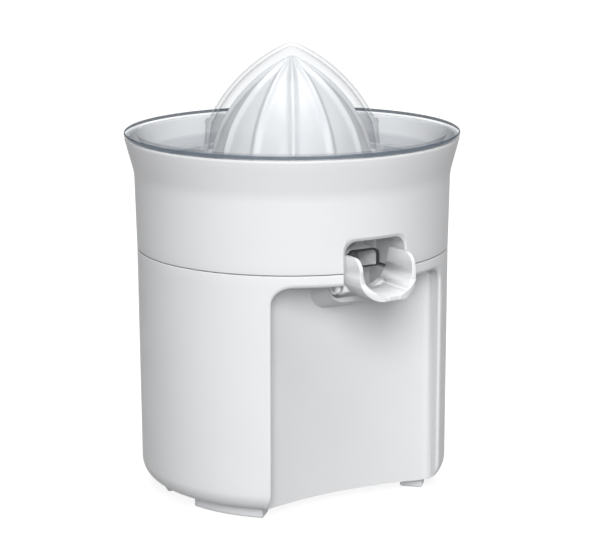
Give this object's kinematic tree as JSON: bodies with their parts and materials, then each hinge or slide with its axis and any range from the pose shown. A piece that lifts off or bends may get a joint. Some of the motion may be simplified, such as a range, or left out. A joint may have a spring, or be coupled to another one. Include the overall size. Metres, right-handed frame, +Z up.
{
  "type": "electric citrus juicer",
  "caption": "Electric citrus juicer: drum-shaped motor base with a glass niche, flared juice bowl with a folding spout, strainer, ribbed reamer cone and a clear domed cover.",
  "frame": {"origin": "on the body's upright axis, at table level under the feet", "axes": "+Z up, -Y towards the spout and the glass niche, +X to the right of someone who faces the back of the niche"},
  "size_m": [0.1704, 0.1884, 0.2287],
  "materials": {
    "white_plastic": "fine satin gloss",
    "clear_plastic": "clear, polished",
    "cone_plastic": "translucent white",
    "foot_plastic": "soft, pale grey",
    "grey_plastic": "moulded",
    "gear_plastic": "natural nylon",
    "steel": "ground",
    "screw_steel": "zinc plated",
    "core_steel": "laminated, varnished",
    "bush_bronze": "sintered, oiled",
    "copper": "enamelled wire",
    "dark_rubber": "soft",
    "dark_plastic": "moulded",
    "red_plastic": "moulded",
    "magnet": "sintered ferrite",
    "blue_lead": "insulation"
  },
  "bodies": {
    "base": {"motor_housing": "white_plastic", "bottom_plate": "grey_plastic", "feet": "foot_plastic", "base_screws": "screw_steel", "cord_gland": "grey_plastic", "terminal_block": "gear_plastic", "gear_plate": "grey_plastic", "gear_plate_screws": "screw_steel", "stator_core": "core_steel", "coil_bobbins": "gear_plastic", "coil_windings": "copper", "top_bracket": "steel", "bottom_bracket": "steel", "rotor_bushes": "bush_bronze", "motor_screws": "screw_steel", "counter_axle": "steel", "spindle_bush": "bush_bronze", "shaft_seal": "dark_rubber", "return_spring": "steel", "switch_body": "dark_plastic", "switch_screws": "screw_steel", "internal_leads": "blue_lead"},
    "rotor": {"rotor_magnet": "magnet", "rotor_shaft": "steel", "motor_pinion": "gear_plastic"},
    "counter": {"counter_gear": "gear_plastic"},
    "collar": {"thrust_collar": "gear_plastic"},
    "plunger": {"switch_plunger": "red_plastic"},
    "drive": {"spindle": "steel", "output_gear": "gear_plastic", "gear_clip": "screw_steel"},
    "sleeve": {"drive_sleeve": "cone_plastic"},
    "cone": {"reamer_cone": "cone_plastic"},
    "bowl": {"juice_bowl": "white_plastic", "spout_pins": "steel", "outlet_seal": "dark_rubber"},
    "spout": {"pouring_spout": "white_plastic"},
    "strainer": {"strainer": "cone_plastic"},
    "cover": {"clear_cover": "clear_plastic"}
  },
  "joints": [
    {"name": "bowl_lift", "type": "slide", "parent": "base", "child": "bowl", "axis": [0, 0, 1], "range_m": [0, 0.06]},
    {"name": "spout_fold", "type": "hinge", "parent": "bowl", "child": "spout", "pos_m": [0, -0.0702, 0.1172], "axis": [-1, 0, 0], "range_deg": [0, 78]},
    {"name": "strainer_lift", "type": "slide", "parent": "bowl", "child": "strainer", "axis": [0, 0, 1], "range_m": [0, 0.05]},
    {"name": "cover_lift", "type": "slide", "parent": "strainer", "child": "cover", "axis": [0, 0, 1], "range_m": [0, 0.065]},
    {"name": "cone_press", "type": "slide", "parent": "base", "child": "collar", "axis": [0, 0, 1], "range_m": [-0.0025, 0], "stiffness_N_per_m": 1600, "springref_m": 0.004, "deforming": ["return_spring"]},
    {"name": "cone_spin", "type": "hinge", "parent": "collar", "child": "drive", "pos_m": [0, 0, 0.1], "axis": [0, 0, 1], "continuous": true},
    {"name": "sleeve_lift", "type": "slide", "parent": "drive", "child": "sleeve", "axis": [0, 0, 1], "range_m": [0, 0.06]},
    {"name": "cone_lift", "type": "slide", "parent": "sleeve", "child": "cone", "axis": [0, 0, 1], "range_m": [0, 0.05]},
    {"name": "counter_spin", "type": "hinge", "parent": "base", "child": "counter", "pos_m": [0.03118, 0.018, 0.1], "axis": [0, 0, 1], "continuous": true},
    {"name": "rotor_spin", "type": "hinge", "parent": "base", "child": "rotor", "pos_m": [0.00411, 0.02785, 0.06], "axis": [0, 0, 1], "continuous": true},
    {"name": "switch_press", "type": "slide", "parent": "base", "child": "plunger", "axis": [0, 0, 1], "range_m": [-0.0025, 0]}
  ],
  "couplings": [
    {"joint": "sleeve_lift", "follows": "bowl_lift", "ratio": 1},
    {"joint": "cone_lift", "follows": "strainer_lift", "ratio": 1},
    {"joint": "counter_spin", "follows": "cone_spin", "ratio": -5},
    {"joint": "rotor_spin", "follows": "cone_spin", "ratio": 25},
    {"joint": "switch_press", "follows": "cone_press", "ratio": 1}
  ]
}
